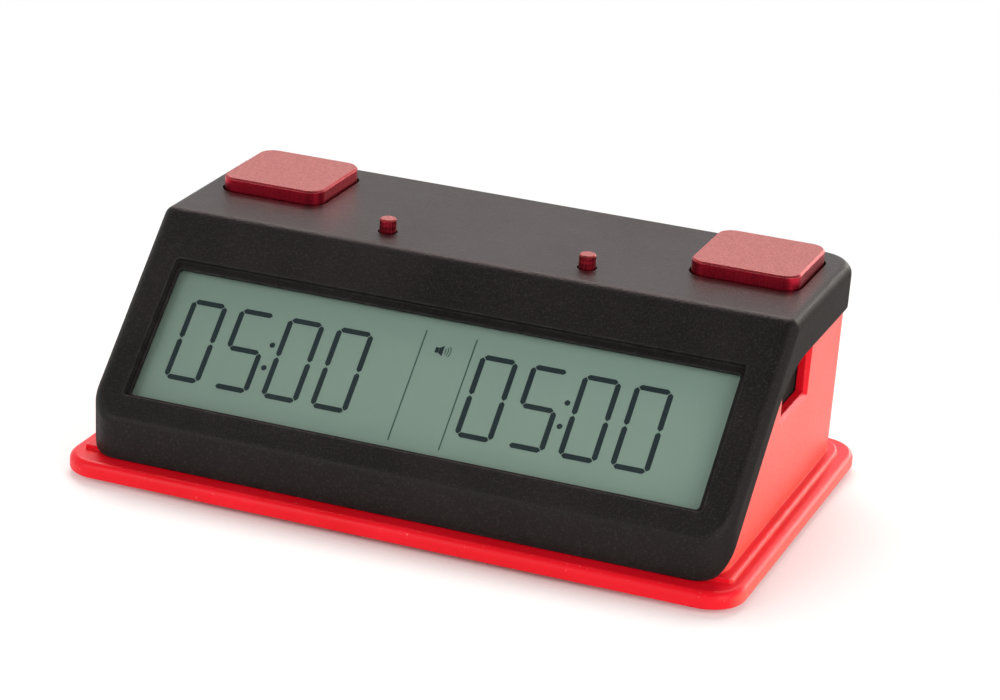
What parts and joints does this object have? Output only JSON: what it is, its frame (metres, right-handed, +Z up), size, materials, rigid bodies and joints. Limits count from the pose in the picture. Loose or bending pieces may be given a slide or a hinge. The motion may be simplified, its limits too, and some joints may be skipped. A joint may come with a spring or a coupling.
{
  "type": "digital chess clock",
  "caption": "Digital chess clock: wedge-shaped case with a sloped display for both players, square press buttons and small setting buttons on top, on a flanged base with rubber feet.",
  "frame": {"origin": "centre of the footprint, on the table surface under the feet", "axes": "+X right along the length, +Y to the back (the display faces -Y), +Z up"},
  "size_m": [0.165, 0.1014, 0.0572],
  "materials": {
    "black_shell": "fine spark-textured black plastic",
    "red_shell": "satin moulded red plastic",
    "clear_window": "clear flat window",
    "lcd": "grey-green liquid crystal panel",
    "reflector": "matte reflector film",
    "grey_plastic": "moulded grey plastic",
    "black_plastic": "black moulded plastic",
    "conductive_rubber": "striped conductive rubber",
    "circuit_board": "green solder mask",
    "steel": "zinc plated steel",
    "chip": "black moulded package",
    "can": "drawn metal can",
    "ribbon": "grey ribbon insulation",
    "white_plastic": "off-white moulded plastic",
    "anodised_red": "bead-blasted red anodised aluminium",
    "cell_jacket": "printed cell jacket",
    "nickel": "nickel plated spring steel",
    "lead_red": "red insulation",
    "lead_black": "black insulation",
    "rubber": "black rubber"
  },
  "bodies": {
    "clock": {"top_cover": "black_shell", "base_housing": "red_shell", "display_window": "clear_window", "lcd_panel": "lcd", "lcd_reflector": "reflector", "lcd_holder": "grey_plastic", "contact_strips": "conductive_rubber", "display_board": "circuit_board", "display_board_screws": "steel", "controller_chip": "chip", "crystal": "can", "board_capacitors": "can", "ribbon_cable": "ribbon", "ribbon_connectors": "black_plastic", "switch_board": "circuit_board", "switch_board_screws": "steel", "button_guides": "white_plastic", "player_switches": "black_plastic", "set_switches": "black_plastic", "buzzer": "black_plastic", "battery_front": "cell_jacket", "battery_rear": "cell_jacket", "battery_springs": "nickel", "battery_contacts": "nickel", "battery_lead_red": "lead_red", "battery_lead_black": "lead_black", "battery_connector": "white_plastic", "case_screws": "steel", "front_left_foot": "rubber", "front_right_foot": "rubber", "rear_left_foot": "rubber", "rear_right_foot": "rubber"},
    "left_player_button": {"left_button_cap": "anodised_red", "left_button_plunger": "white_plastic", "left_button_spring": "steel"},
    "right_player_button": {"right_button_cap": "anodised_red", "right_button_plunger": "white_plastic", "right_button_spring": "steel"},
    "left_setting_button": {"left_set_button": "anodised_red"},
    "right_setting_button": {"right_set_button": "anodised_red"},
    "battery_cover": {"battery_door": "red_shell"}
  },
  "joints": [
    {"name": "left_player_button_press", "type": "slide", "parent": "clock", "child": "left_player_button", "axis": [0, 0, -1], "range_m": [0, 0.0016], "stiffness_N_per_m": 900, "springref_m": -0.001, "deforming": ["left_button_spring"]},
    {"name": "right_player_button_press", "type": "slide", "parent": "clock", "child": "right_player_button", "axis": [0, 0, -1], "range_m": [0, 0.0016], "stiffness_N_per_m": 900, "springref_m": -0.001, "deforming": ["right_button_spring"]},
    {"name": "left_setting_button_press", "type": "slide", "parent": "clock", "child": "left_setting_button", "axis": [0, 0, -1], "range_m": [0, 0.0006], "stiffness_N_per_m": 700, "springref_m": -0.0004},
    {"name": "right_setting_button_press", "type": "slide", "parent": "clock", "child": "right_setting_button", "axis": [0, 0, -1], "range_m": [0, 0.0006], "stiffness_N_per_m": 700, "springref_m": -0.0004},
    {"name": "battery_cover_hinge", "type": "hinge", "parent": "clock", "child": "battery_cover", "pos_m": [0, 0.0015, 0.0022], "axis": [-1, 0, 0], "range_deg": [0, 80]}
  ]
}
